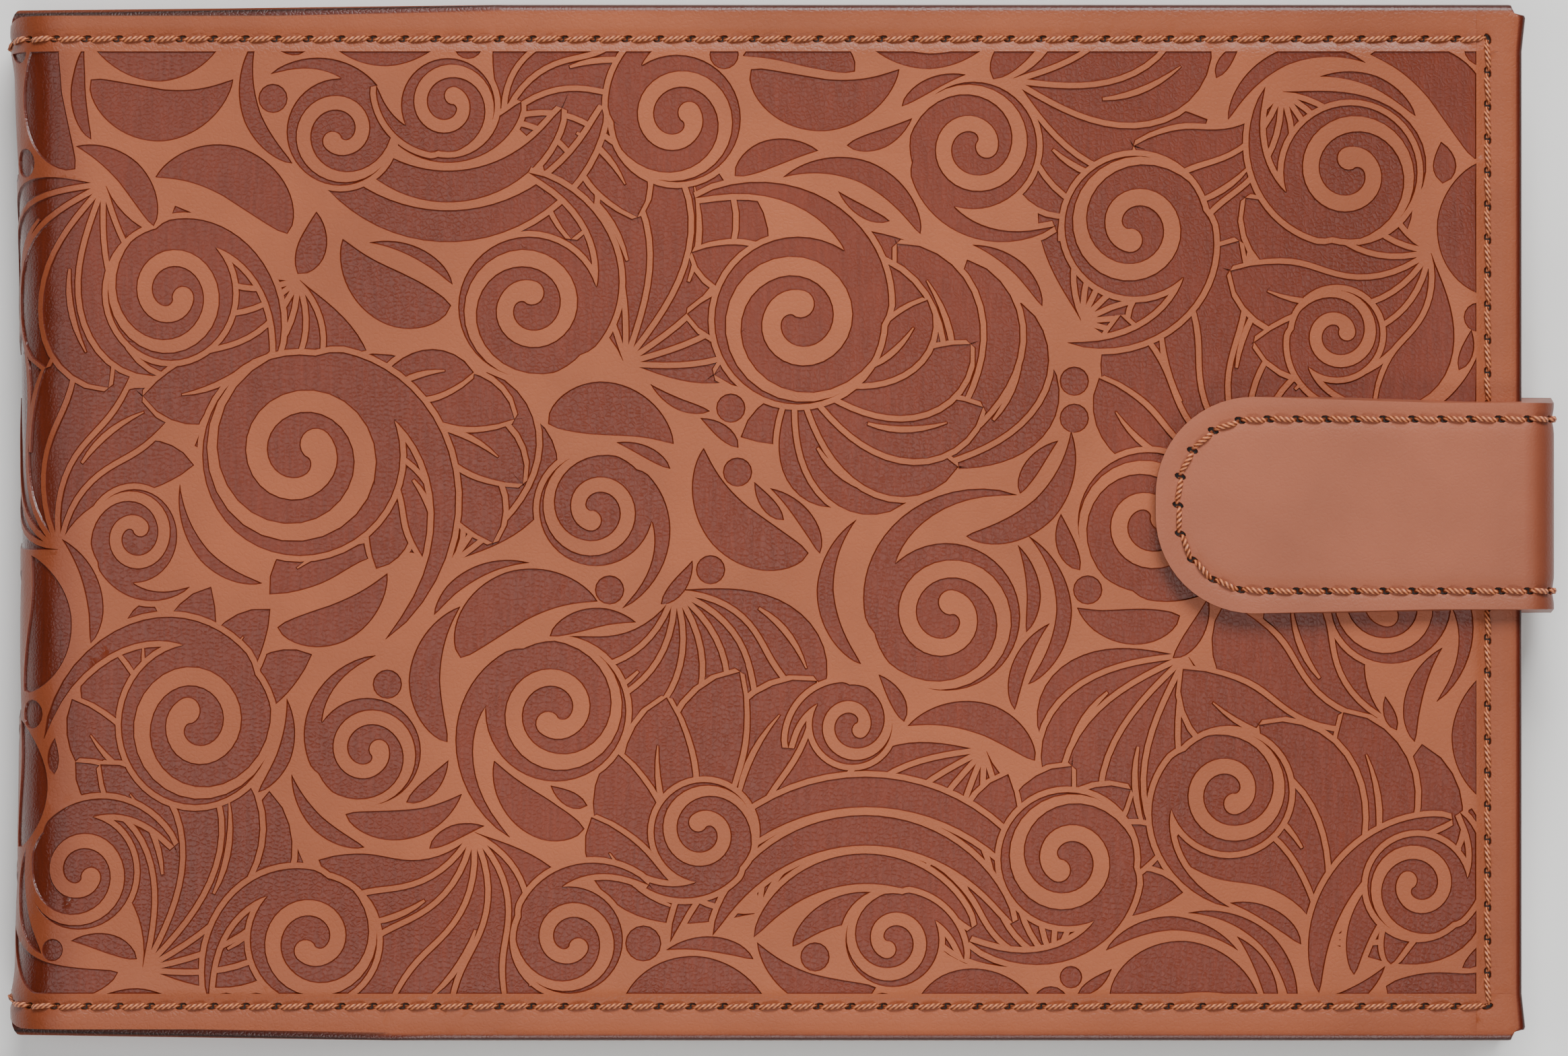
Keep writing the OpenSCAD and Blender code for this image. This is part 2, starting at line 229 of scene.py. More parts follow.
for scroll in (
    (24, 34, 10, 1.6, 120, 1, 1), (50, 58, 8, 1.4, 20, -1, 0.8), (18, -2, 7, 1.4, 200, -1, 0.8),
    (44, 10, 15, 1.8, 100, 1, 1.1), (78, 32, 10.5, 1.6, -60, -1, 1), (100, 60, 9.5, 1.5, 200, 1, 1),
    (88, 2, 8.5, 1.5, 60, 1, 0.9), (118, 30, 12.5, 1.7, -20, -1, 1), (144, 56, 9.5, 1.5, 180, -1, 0.9),
    (168, 44, 10.5, 1.6, 30, 1, 1), (200, 52, 10, 1.5, -90, 1, 0.9), (198, 28, 6.5, 1.4, 160, -1, 0.8),
    (28, -30, 12, 1.7, 20, -1, 1.1), (10, -52, 8.5, 1.5, 150, 1, 0.9), (54, -34, 8, 1.4, -140, 1, 0.9),
    (46, -62, 9.5, 1.5, 60, -1, 1), (82, -28, 10.5, 1.6, 100, -1, 1), (104, -46, 7.5, 1.4, -30, 1, 0.8),
    (84, -62, 8, 1.4, 170, 1, 0.9), (140, -14, 11, 1.6, -150, 1, 1), (126, -30, 6, 1.3, 80, -1, 0.8),
    (158, -50, 10, 1.6, 10, 1, 1), (170, 0, 10.5, 1.6, -120, -1, 1), (182, -40, 9, 1.5, 120, -1, 1),
    (206, -12, 9, 1.5, 70, 1, 0.9), (210, -54, 7.5, 1.4, -60, -1, 0.8), (132, -62, 7, 1.4, 90, 1, 0.7),
    (66, 62, 7, 1.4, -90, 1, 0.7),
):
    volute(*scroll)

# Small leaves fill the gaps: the widest bare place on a half-millimetre grid gets the next leaf,
# laid the way that has the most room. They may run over the plate's edge, which cuts them off.
cell = 0.5
over_edge = 5
grid_half_h = field_half_h + over_edge
field_start_x = -7.5
cells_x = int((field_end_x + over_edge - field_start_x) / cell)
cells_y = int(2 * grid_half_h / cell)


def mark(grid, outline, level):
    """Fills the cells inside an outline with its level"""
    xs = (np.array([p[0] for p in outline]) - field_start_x) / cell
    ys = (np.array([p[1] for p in outline]) + grid_half_h) / cell
    next_x, next_y = np.roll(xs, -1), np.roll(ys, -1)
    for row in range(max(0, int(ys.min())), min(cells_y - 1, int(ys.max()) + 1) + 1):
        mid = row + 0.5
        hit = ((ys <= mid) & (next_y > mid)) | ((next_y <= mid) & (ys > mid))
        if not hit.any():
            continue
        cuts = np.sort(xs[hit] + (mid - ys[hit]) * (next_x[hit] - xs[hit]) / (next_y[hit] - ys[hit]))
        for a, b in zip(cuts[::2], cuts[1::2]):
            grid[row, max(0, int(a + 0.5)):max(0, int(b + 0.5))] = level


def room_on(grid):
    """How far each bare cell is from the nearest pressed one, in millimetres"""
    bare = grid == RAISED
    bare[[0, -1], :] = False
    bare[:, -1] = False
    room = np.zeros(grid.shape)
    step = 0
    while bare.any():
        room[bare] += cell
        inner = bare.copy()
        inner[1:] &= bare[:-1]
        inner[:-1] &= bare[1:]
        inner[:, 1:] &= bare[:, :-1]
        inner[:, :-1] &= bare[:, 1:]
        if step % 2:
            inner[1:, 1:] &= bare[:-1, :-1]
            inner[:-1, :-1] &= bare[1:, 1:]
            inner[1:, :-1] &= bare[:-1, 1:]
            inner[:-1, 1:] &= bare[1:, :-1]
        bare = inner
        step += 1
    return room


def walk(room, x, y, angle, bend):
    """Goes from a place along a curve for as long as there is room beside it"""
    found = []
    for _ in range(14):
        angle += bend * 0.12
        x += math.cos(angle) * 0.9
        y += math.sin(angle) * 0.9
        row, column = int((y + grid_half_h) / cell), int((x - field_start_x) / cell)
        if not (0 <= row < cells_y and 0 <= column < cells_x) or room[row, column] < 1.0:
            break
        found.append((x, y, room[row, column]))
    return found


# A leaf needs this much room beside its root, and must come out this wide
most_leaves = 130
least_room = 1.9
least_fit = 0.9
widest_leaf = 4
directions = 8
ground = np.zeros((cells_y, cells_x), np.int8)
for outline, level in ornament:
    mark(ground, outline, level)
for _ in range(most_leaves):
    room = room_on(ground)
    row, column = np.unravel_index(np.argmax(room), room.shape)
    if room[row, column] < least_room:
        break
    x, y = field_start_x + column * cell, row * cell - grid_half_h
    best, best_score = None, 0
    for k in range(directions):
        for bend in (-0.5, 0.5):
            ahead = walk(room, x, y, math.pi * k / directions, bend)
            behind = walk(room, x, y, math.pi * (k / directions + 1), -bend)
            line = behind[::-1] + [(x, y, room[row, column])] + ahead
            score = sum(p[2] for p in line)
            if len(line) >= 5 and score > best_score:
                best, best_score = line, score
    fits = 0
    while best and fits < least_fit:
        last = len(best) - 1
        shape = [math.sin(math.pi * (i / last) ** 0.8) ** 0.8 for i in range(1, last)]
        fits = min((p[2] - ridge) / w for p, w in zip(best[1:-1], shape) if w > 0.4)
        half = [0.05] + [max(0.05, w * min(fits, widest_leaf)) for w in shape] + [0.05]
        leaf = stroke([p[:2] for p in best], half)
        best = best[1:-1] if len(best) > 8 else None
    if fits < least_fit:
        leaf = disc(x, y, room[row, column] - ridge, 16)
    ornament.append((leaf, PRESSED))
    mark(ground, *ornament[-1])

# The plate stops short of the seams
beyond = 40
far_x = 260
for x0, y0, x1, y1 in (
    (-beyond, field_half_h, far_x, field_half_h + beyond),
    (-beyond, -field_half_h - beyond, far_x, -field_half_h),
    (field_end_x, -field_half_h - beyond, far_x, field_half_h + beyond),
):
    ornament.append(([(x0, y0), (x1, y0), (x1, y1), (x0, y1)], RAISED))

# ---- Outer leather ------------------------------------------------------
# Each cover's skin is one piece of full-grain leather, a millimetre thick, from the middle of the
# spine round the roll to the fore-edge. Its edges are turned in round the board, and the
# stitching pulls it down into a shallow valley with a hole at each end of a stitch.
leather_t = 1.0
fold_d = 2 * leather_t
roll_r = 8.5
turn_in = 6.3
seam_in = 5.1
spine_corner_r = 2.6
fore_corner_r = 1.2
hole_level_d = 0.8
hollow_end_d = 1.0
hollow_middle_d = 0.9
hollow_rim_d = 0.15
hollow_half_h = 67
pleat_out = 0.55
valley_d = 0.4
rim_thinning = 0.25
wave_h = 0.09
hinge_groove_d = 0.5
cover_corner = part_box("front_leather")[1] / MM
fore_x, half_h, closed_t = cover_corner
spine_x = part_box("spine_leather")[0].x / MM
cover_w = fore_x - spine_x
roll_run = roll_r * math.pi / 2
mid_spine = roll_r - roll_run - (closed_t / 2 - roll_r)


def ease(value, start, end):
    t = np.clip((value - start) / (end - start), 0, 1)
    return t * t * (3 - 2 * t)


def on_cover(u, y, d, drawn_in=1.0):
    """Puts places on the flat sheet, in millimetres, round the closed front cover, in metres. u runs
    from mid-spine over the roll to the fore-edge, and d goes down into the cover from its face"""
    turn = np.clip((roll_r - u) / roll_r, 0, math.pi / 2)
    reach = roll_r - d
    x = spine_x + np.where(u > roll_r, u, roll_r - reach * np.sin(turn))
    z = closed_t - roll_r + reach * np.cos(turn) - np.clip(roll_r - roll_run - u, 0, None)
    # The spine is drawn in between its ends, and its corners are round
    side = np.abs(y)
    near_end = ease(side, hollow_half_h - 1, hollow_half_h + 6)
    hollow = hollow_end_d + hollow_middle_d * (1 - (y / hollow_half_h) ** 2)
    hollow = (hollow * (1 - near_end) + hollow_rim_d * near_end) * drawn_in
    x = x + hollow * (1 - ease(u, 6, 40))
    round_off = np.clip(spine_corner_r - (x - hollow - spine_x), 0, spine_corner_r)
    drop = spine_corner_r - np.sqrt(np.clip(spine_corner_r ** 2 - round_off ** 2, 0, None))
    y = y - np.sign(y) * drop * ease(side, 68, 76)
    # Pleats at the fore-edge's corners stand out a little
    pleat = pleat_out * np.exp(-((side - half_h + 2.2) / 1.3) ** 2) * ease(u, cover_w - 3, cover_w)
    return np.column_stack((x + pleat, y, z)) * MM


def on_skin(u, y, d):
    """The same for the outer leather, with its seam valley and the gentle waves of a padded cover"""
    in_from_end, in_from_side = cover_w - u, half_h - np.abs(y)
    inside = np.minimum(in_from_end, in_from_side)
    valley = valley_d * np.exp(-((inside - seam_in) / 1.3) ** 2)
    thin_rim = rim_thinning * (1 - ease(inside, 1, 7))
    waves = wave_h * (np.sin(u * 0.11 + 1.3) * np.cos(y * 0.09) + np.sin(u * 0.043 - y * 0.061 + 0.6))
    waves = (waves + 2 * wave_h) * ease(inside, 4, 16) * ease(u, -4, 24)
    groove = hinge_groove_d * ease(u, 2, 12) * (1 - ease(u, 12, 75)) * ease(inside, 2, 12)
    return on_cover(u, y, d + (valley + thin_rim + waves + groove) * np.clip(1 - d / fold_d, 0, 1))


def cut_sheet(outline, shapes, spots):
    """A flat sheet cut along the outline of every shape on it, with vertices at the spots too"""
    points, faces = [], []
    for shape in [outline] + [shape[0] for shape in shapes]:
        area = sum(a[0] * b[1] - b[0] * a[1] for a, b in zip(shape, shape[1:] + shape[:1]))
        faces.append(list(range(len(points), len(points) + len(shape))))
        points += [Vector(p) for p in (shape if area > 0 else shape[::-1])]
    points += [Vector(p) for p in spots]
    flat, _, triangles, _, _, inside = delaunay_2d_cdt(points, [], faces, 1, 0.003, True)
    sheet = bmesh.new()
    level = sheet.faces.layers.int.new("level")
    corners = [sheet.verts.new((p.x, p.y, 0)) for p in flat]
    for triangle, parents in zip(triangles, inside):
        if 0 in parents:
            top = max(parents)
            face = sheet.faces.new([corners[i] for i in triangle])
            face[level] = shapes[top - 1][1] if top else RAISED
    bmesh.ops.delete(sheet, geom=[v for v in sheet.verts if not v.link_faces], context="VERTS")
    return sheet


def sink(sheet, press_d, wall):
    """Presses the sheet's sunk shapes down, each with a sloping wall round it"""
    level = sheet.faces.layers.int["level"]
    for which, deep in ((PRESSED, press_d), (HOLE, hole_level_d)):
        sunk = [f for f in sheet.faces if f[level] == which and f.calc_center_median().z > -0.01]
        if sunk:
            bmesh.ops.inset_region(sheet, faces=sunk, thickness=wall, depth=-deep, use_even_offset=False)
    return sheet


def finish_piece(name, mesh, place, material, mirrored=False, sharp=0.7, pressed_d=None, shade_and_darkening_map=None):
    """Lays a flat mesh where it goes, and turns it over for the back cover if it is mirrored"""
    flat = np.array([v.co for v in mesh.verts])
    lie = place(flat[:, 0], flat[:, 1], -flat[:, 2])
    if mirrored:
        lie[:, 2] = closed_t * MM - lie[:, 2]
    for vertex, co in zip(mesh.verts, lie):
        vertex.co = co
    if mirrored:
        bmesh.ops.reverse_faces(mesh, faces=mesh.faces)
    mesh.normal_update()
    for face in mesh.faces:
        face.smooth = True
    for edge in mesh.edges:
        if len(edge.link_faces) == 2 and edge.calc_face_angle(0) > sharp:
            edge.smooth = False
    data = bpy.data.meshes.new(name)
    mesh.to_mesh(data)
    mesh.free()
    if pressed_d:
        for kind, value in (
            ("pressed", np.clip(-flat[:, 2] / pressed_d, 0, 1) * (flat[:, 2] > -pressed_d - 0.05)),
            ("needle_hole", (flat[:, 2] < -pressed_d - 0.05) * (flat[:, 2] > -hole_level_d - 0.1)),
        ):
            data.attributes.new(kind, "FLOAT", "POINT").data.foreach_set("value", value.astype(np.float32))
    # The darkening map is painted shade where the leather bends away from the light, with darker edges,
    # margins and ends on the covers
    if shade_and_darkening_map:
        shade_and_darkening_amount = shade_and_darkening_map(flat[:, 0], flat[:, 1]).astype(np.float32)
        data.attributes.new("darkening_and_shade", "FLOAT", "POINT").data.foreach_set("value", shade_and_darkening_amount)
    data.materials.append(material)
    piece = bpy.data.objects.new(name, data)
    bpy.context.scene.collection.objects.link(piece)
    return piece


def new_material(name):
    material = bpy.data.materials.new(name)
    material.use_nodes = True
    return material, material.node_tree.nodes, material.node_tree.links


def put(nodes, kind, inputs=(), **settings):
    node = nodes.new(kind)
    for key, value in settings.items():
        setattr(node, key, value)
    for key, value in dict(inputs).items():
        node.inputs[key].default_value = value
    return node


def blend_colour(nodes, links, factor, a, b, mode="MIX"):
    mix = put(nodes, "ShaderNodeMix", data_type="RGBA", blend_type=mode)
    for socket, value in ((mix.inputs[0], factor), (mix.inputs[6], a), (mix.inputs[7], b)):
        if isinstance(value, bpy.types.NodeSocket):
            links.new(value, socket)
        else:
            socket.default_value = value
    return mix.outputs[2]


def sums(nodes, links, operation, a, b):
    node = put(nodes, "ShaderNodeMath", operation=operation)
    for socket, value in zip(node.inputs, (a, b)):
        if isinstance(value, bpy.types.NodeSocket):
            links.new(value, socket)
        else:
            socket.default_value = value
    return node.outputs[0]


# Grain: pores and fine creases in the leather's face, and the cloudy dye under them
grain = bpy.data.node_groups.new("leather_grain", "ShaderNodeTree")
grain.interface.new_socket("Pore Scale", in_out="INPUT", socket_type="NodeSocketFloat")
grain.interface.new_socket("Height", in_out="OUTPUT", socket_type="NodeSocketFloat")
grain.interface.new_socket("Cloud", in_out="OUTPUT", socket_type="NodeSocketFloat")
grain.interface.new_socket("Streak", in_out="OUTPUT", socket_type="NodeSocketFloat")
grain_in = grain.nodes.new("NodeGroupInput")
grain_out = grain.nodes.new("NodeGroupOutput")
grain_place = grain.nodes.new("ShaderNodeTexCoord").outputs["Object"]
pores = put(grain.nodes, "ShaderNodeTexVoronoi", feature="DISTANCE_TO_EDGE")
grain.links.new(grain_place, pores.inputs["Vector"])
grain.links.new(grain_in.outputs["Pore Scale"], pores.inputs["Scale"])
pore_edge = put(grain.nodes, "ShaderNodeMapRange", {"From Max": 0.25})
grain.links.new(pores.outputs["Distance"], pore_edge.inputs["Value"])
creases = put(grain.nodes, "ShaderNodeTexNoise", {"Scale": 620, "Detail": 6, "Roughness": 0.65})
grain.links.new(grain_place, creases.inputs["Vector"])
grain_height = sums(grain.nodes, grain.links, "MULTIPLY", pore_edge.outputs[0], 0.5)
grain_height = sums(grain.nodes, grain.links, "ADD", grain_height, creases.outputs["Fac"])
grain.links.new(grain_height, grain_out.inputs["Height"])
clouds = put(grain.nodes, "ShaderNodeTexNoise", {"Scale": 34, "Detail": 5, "Roughness": 0.6})
grain.links.new(grain_place, clouds.inputs["Vector"])
grain.links.new(clouds.outputs["Fac"], grain_out.inputs["Cloud"])
streak_place = put(grain.nodes, "ShaderNodeMapping", {"Scale": (1, 0.07, 1)})
grain.links.new(grain_place, streak_place.inputs["Vector"])
streaks = put(grain.nodes, "ShaderNodeTexNoise", {"Scale": 1900, "Detail": 3, "Roughness": 0.6})
grain.links.new(streak_place.outputs[0], streaks.inputs["Vector"])
grain.links.new(streaks.outputs["Fac"], grain_out.inputs["Streak"])


def leather(name, plain, pressed, edge, hole_shade, rough, coat, pore_scale, bump, cloudy=0.14):
    """Dyed leather: its pressed floors are darker and streaky, painted shade darkens it where it bends, it
    is darker at the covers' edges and ends, and its needle holes are painted near-black as painted shade
    """
    material, nodes, links = new_material(name)
    shader = nodes["Principled BSDF"]
    effect = put(nodes, "ShaderNodeGroup", node_tree=grain)
    effect.inputs["Pore Scale"].default_value = pore_scale
    depth = put(nodes, "ShaderNodeAttribute", attribute_name="pressed").outputs["Fac"]
    pierced = put(nodes, "ShaderNodeAttribute", attribute_name="needle_hole").outputs["Fac"]
    cloud = put(nodes, "ShaderNodeMapRange", {
        "From Min": 0.3, "From Max": 0.7, "To Min": 1 - cloudy, "To Max": 1 + cloudy,
    })
    links.new(effect.outputs["Cloud"], cloud.inputs["Value"])
    streak = put(nodes, "ShaderNodeMapRange", {
        "From Min": 0.3, "From Max": 0.7, "To Min": 0.88, "To Max": 1.12,
    })
    links.new(effect.outputs["Streak"], streak.inputs["Value"])
    streaky = blend_colour(nodes, links, 1.0, pressed, streak.outputs[0], "MULTIPLY")
    colour = blend_colour(nodes, links, depth, plain, streaky)
    colour = blend_colour(nodes, links, 1.0, colour, cloud.outputs[0], "MULTIPLY")
    wall = sums(nodes, links, "MULTIPLY", depth, sums(nodes, links, "SUBTRACT", 1.0, depth))
    wall = sums(nodes, links, "MULTIPLY", wall, 3.4)
    colour = blend_colour(nodes, links, wall, colour, edge)
    # Painted shade: the darkening attribute multiplies the colour darker where the leather bends away from
    # the light; on the covers it also darkens the edges, margins and ends
    shade_and_darkening_amount = put(nodes, "ShaderNodeAttribute", attribute_name="darkening_and_shade").outputs["Fac"]
    dark = blend_colour(nodes, links, 1.0, colour, (0.5, 0.38, 0.33, 1), "MULTIPLY")
    colour = blend_colour(nodes, links, shade_and_darkening_amount, colour, dark)
    # Painted shade: needle holes get a near-black colour for the darkness of a deep hole
    colour = blend_colour(nodes, links, pierced, colour, hole_shade)
    links.new(colour, shader.inputs["Base Color"])
    shine = put(nodes, "ShaderNodeMapRange", {
        "From Min": 0.25, "From Max": 0.75, "To Min": rough - 0.06, "To Max": rough + 0.08,
    })
    links.new(effect.outputs["Cloud"], shine.inputs["Value"])
    gloss = sums(nodes, links, "MULTIPLY", depth, -0.19)
    links.new(sums(nodes, links, "ADD", shine.outputs[0], gloss), shader.inputs["Roughness"])
    shader.inputs["Specular IOR Level"].default_value = 0.32
    shader.inputs["Coat Weight"].default_value = coat
    shader.inputs["Coat Roughness"].default_value = 0.2
    relief = put(nodes, "ShaderNodeBump", {"Strength": bump, "Distance": 0.00012})
    links.new(effect.outputs["Height"], relief.inputs["Height"])
    links.new(relief.outputs["Normal"], shader.inputs["Normal"])
    return material


outer_leather = leather(
    "outer_leather", (0.335, 0.087, 0.031, 1), (0.15, 0.025, 0.009, 1), (0.11, 0.01, 0.003, 1),
    (0.012, 0.003, 0.002, 1), 0.42, 0.11, 1500, 0.35,
)

# Needle holes, one between stitch and stitch, from mid-spine along the head, down the fore-edge
# and back along the tail
seam_y = half_h - seam_in
seam_u = cover_w - seam_in
stitches_along = 48
stitches_across = 29


def seam_row(a, b, count):
    return [(a[0] + (b[0] - a[0]) * k / count, a[1] + (b[1] - a[1]) * k / count) for k in range(count + 1)]


cover_rows = [
    seam_row((mid_spine, seam_y), (seam_u, seam_y), stitches_along),
    seam_row((seam_u, seam_y), (seam_u, -seam_y), stitches_across),
    seam_row((seam_u, -seam_y), (mid_spine, -seam_y), stitches_along),
]


def needle_hole(x, y, along, size=(0.9, 0.54), tilt=0.35):
    a = along + tilt
    return [
        (x + size[0] * math.cos(t) * math.cos(a) - size[1] * math.sin(t) * math.sin(a),
         y + size[0] * math.cos(t) * math.sin(a) + size[1] * math.sin(t) * math.cos(a))
        for t in (math.tau * k / 10 for k in range(10))
    ]


def row_holes(rows):
    holes = []
    for row in rows:
        along = math.atan2(row[1][1] - row[0][1], row[1][0] - row[0][0])
        holes += [(needle_hole(x, y, along), HOLE) for x, y in row[:-1]]
    return holes


fold_r = leather_t
face_half_h = half_h - fold_r
face_end = cover_w - fold_r
skin_outline = [(mid_spine, -face_half_h)]
for y_side in (-1, 1):
    turn = fore_corner_r - 0.2
    centre = (face_end - turn, y_side * (face_half_h - turn))
    for k in range(5):
        a = math.radians(-90 + 22.5 * k if y_side < 0 else 22.5 * k)
        skin_outline.append((centre[0] + turn * math.cos(a), centre[1] + turn * math.sin(a)))
skin_outline.append((mid_spine, face_half_h))

skin_spots = []
for u in np.arange(mid_spine + 0.9, roll_r + 3, 1.1):
    skin_spots += [(u, y) for y in np.arange(-half_h + 8.5, half_h - 8, 2.6)]
for u in np.arange(roll_r + 4.2, cover_w - 8, 3.4):
    skin_spots += [(u, y) for y in np.arange(-half_h + 9, half_h - 8, 3.4)]
for inside in np.arange(1.7, 8.2, 0.75):
    for y in (half_h - inside, inside - half_h):
        skin_spots += [(u, y) for u in np.arange(mid_spine + 0.6, cover_w - inside, 1.5)]
    skin_spots += [(cover_w - inside, y) for y in np.arange(inside - half_h + 0.7, half_h - inside, 1.5)]

press_d = 0.3
wall_w = 0.2
front_sheet = sink(cut_sheet(skin_outline, ornament + row_holes(cover_rows), skin_spots), press_d, wall_w)


def turn_edges_in(sheet):
    """Rolls the sheet's rim round the cover's edge, and under by the width of the turn-in"""
    rim = [e for e in sheet.edges if e.is_boundary and any(v.co.x > mid_spine + 0.01 for v in e.verts)]
    steps = 6
    for k in range(1, steps + 2):
        rolled = bmesh.ops.extrude_edge_only(sheet, edges=rim)["geom"]
        rim = [g for g in rolled if isinstance(g, bmesh.types.BMEdge)]
        a0, a1 = math.pi * (k - 1) / steps, math.pi * k / steps
        for vertex in (g for g in rolled if isinstance(g, bmesh.types.BMVert)):
            x, y, z = vertex.co
            if k > steps:
                vertex.co = (min(x, cover_w - turn_in), max(-half_h + turn_in, min(half_h - turn_in, y)), z)
                continue
            core_x = min(x, cover_w - fore_corner_r)
            core_y = max(-half_h + fore_corner_r, min(half_h - fore_corner_r, y))
            out = Vector((x - core_x, y - core_y, 0)).normalized()
            out.x *= x > mid_spine + 0.01
            push = fold_r * (math.sin(a1) - math.sin(a0))
            vertex.co = (x + out.x * push, y + out.y * push, z - fold_r * (math.cos(a0) - math.cos(a1)))


def skin_darkening_and_painted_shade(u, y):
    """Painted shade darkens the roll most, where it turns away from the light; the edges, then the margins
    and both ends, are darker too
    """
    inside = np.minimum(cover_w - u, half_h - np.abs(y))
    edges = 0.5 * (1 - ease(inside, 0.2, 1.6)) + 0.22 * (1 - ease(inside, 6, 8))
    ends = 0.2 * (1 - ease(u, 20, 100)) + 0.2 * ease(u, 140, 215)
    return np.maximum(0.85 * (1 - ease(u, 4, 16)), edges + ends)


turn_edges_in(front_sheet)
back_sheet = front_sheet.copy()
front_skin = finish_piece(
    "front_skin", front_sheet, on_skin, outer_leather, pressed_d=press_d, shade_and_darkening_map=skin_darkening_and_painted_shade,
)
back_skin = finish_piece(
    "back_skin", back_sheet, on_skin, outer_leather, mirrored=True, pressed_d=press_d, shade_and_darkening_map=skin_darkening_and_painted_shade,
)


def bend_round_spine(piece, replaced):
    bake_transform(piece)
    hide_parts(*replaced)


bend_round_spine(front_skin, ["front_leather", "spine_leather"])
bend_round_spine(back_skin, ["back_leather"])


# ---- Thread -------------------------------------------------------------
# Waxed two-ply thread, sewn in a lockstitch: each stitch comes up out of one needle hole and goes
# down the next, on the leather's face and again on the lining inside.
thread_r = 0.44
thread_rise = 0.32
thread_dive = 2.0
thread_end = -1.2


def sew(mesh, rows, lean=0.1):
    """Adds a stitch, leaning a little, between each two needle holes"""
    mesh.loops.layers.uv.verify()
    for row in rows:
        for (x0, y0), (x1, y1) in zip(row, row[1:]):
            made = bmesh.ops.create_grid(mesh, x_segments=6, y_segments=7, size=1, calc_uvs=True)["verts"]
            length = math.hypot(x1 - x0, y1 - y0)
            ax, ay = (x1 - x0) / length, (y1 - y0) / length
            tilt_x, tilt_y = ax - ay * lean, ay + ax * lean
            for vertex in made:
                around = math.pi * (vertex.co.x - 0.5)
                along = vertex.co.y
                reach = 0.5 * length * along
                thin = thread_r * (1 - 0.25 * abs(along) ** 3)
                side = thin * math.cos(around)
                x = (x0 + x1) / 2 + reach * (tilt_x if abs(along) < 0.9 else ax) - ay * side
                y = (y0 + y1) / 2 + reach * (tilt_y if abs(along) < 0.9 else ay) + ax * side
                height = max(thread_rise - thread_dive * along ** 4, thread_end)
                vertex.co = (x, y, height + thin * math.sin(around) * 0.85)


thread, nodes, links = new_material("sewing_thread")
twist = put(nodes, "ShaderNodeTexCoord").outputs["UV"]
twist_turn = put(nodes, "ShaderNodeMapping", {"Rotation": (0, 0, 0.5)})
links.new(twist, twist_turn.inputs["Vector"])
plies = put(nodes, "ShaderNodeTexWave", {"Scale": 1.9}, wave_type="BANDS", bands_direction="Y")
links.new(twist_turn.outputs[0], plies.inputs["Vector"])
# Painted highlight and shade: light copper on each ply and dark brown in the grooves, from the same bands
# that give the bump
ply_highlight_and_shade = blend_colour(nodes, links, plies.outputs["Fac"], (0.16, 0.03, 0.01, 1), (0.75, 0.25, 0.1, 1))
links.new(ply_highlight_and_shade, nodes["Principled BSDF"].inputs["Base Color"])
nodes["Principled BSDF"].inputs["Roughness"].default_value = 0.5
ply_relief = put(nodes, "ShaderNodeBump", {"Strength": 0.8, "Distance": 0.0002})
links.new(plies.outputs["Fac"], ply_relief.inputs["Height"])
links.new(ply_relief.outputs["Normal"], nodes["Principled BSDF"].inputs["Normal"])

for side in ("front", "back"):
    threads = bmesh.new()
    sew(threads, cover_rows)
    piece = finish_piece(side + "_stitches", threads, on_skin, thread, side == "back", sharp=3)
    seams = ["front_seam", "spine_seam"] if side == "front" else ["back_seam"]
    bend_round_spine(piece, seams)

# ---- Lining -------------------------------------------------------------
# Soft brown split leather, half a millimetre thick. It covers the boards inside, goes down their
# edges on to the turned-in leather, and runs on through the spine as its inner hinge.
lining_t = 0.5
lining_edge_in = 1.5
rim_d = fold_d + lining_t
board_face_d = 3.9
slope_start = 4.85
slope_end = 6.4
board_end_u = 11
anchor_lining_d = 4.7
lining_drawn_in = 0.7
strap_y = 2.6
strap_w = 32.1


def board_slope(u, y):
    inside = np.minimum(cover_w - u, half_h - np.abs(y))
    return ease(inside, slope_start, slope_end)


def lining_depth(u, y, over_strap):
    """Depth of the lining's inner face, which goes over the strap's fixed end in the back cover"""
    step_end = board_end_u + 0.5
    over_board = rim_d + (board_face_d - rim_d) * ease(u, roll_r - 0.5, step_end)
    hinge_d = leather_t + lining_t
    over_hinge = hinge_d + (board_face_d - hinge_d) * ease(u, roll_r, step_end)
    middle = np.where(u < step_end, over_hinge, over_board)
    depth = rim_d + (middle - rim_d) * board_slope(u, y)
    if over_strap:
        beside = 1 - ease(np.abs(y - strap_y), strap_w / 2 + 0.6, strap_w / 2 + 1.6)
        lifted = beside * ease(u, cover_w - 7.6, cover_w - 6.6)
        depth = np.maximum(depth, depth + (anchor_lining_d - depth) * lifted)
    return depth


def lining_sheet(u0, u1, thickness, edge_in=lining_edge_in):
    """A flat sheet with closed edges, fine where it goes over the board's edge"""
    sheet = bmesh.new()
    lines_u = sorted(set(np.round(np.concatenate((
        np.arange(u0, min(u1, 14), 1.1), np.arange(max(u0, 14), u1 - 12, 4),
        np.arange(u1 - 12, u1, 0.7), [u1],
    )), 3)))
    top = half_h - edge_in
    lines_y = sorted(set(np.round(np.concatenate((
        np.arange(-top, -66, 0.6), np.arange(-66, 66, 3), np.arange(66, top, 0.6), [top],
    )), 3)))
    columns, rows = len(lines_u) - 1, len(lines_y) - 1
    made = bmesh.ops.create_grid(sheet, x_segments=columns, y_segments=rows, size=1)["verts"]
    for vertex in made:
        column = round((vertex.co.x + 1) / 2 * columns)
        row = round((vertex.co.y + 1) / 2 * rows)
        vertex.co = (lines_u[column], lines_y[row], 0)
    bmesh.ops.reverse_faces(sheet, faces=sheet.faces)
    bmesh.ops.solidify(sheet, geom=sheet.faces, thickness=-thickness)
    return sheet


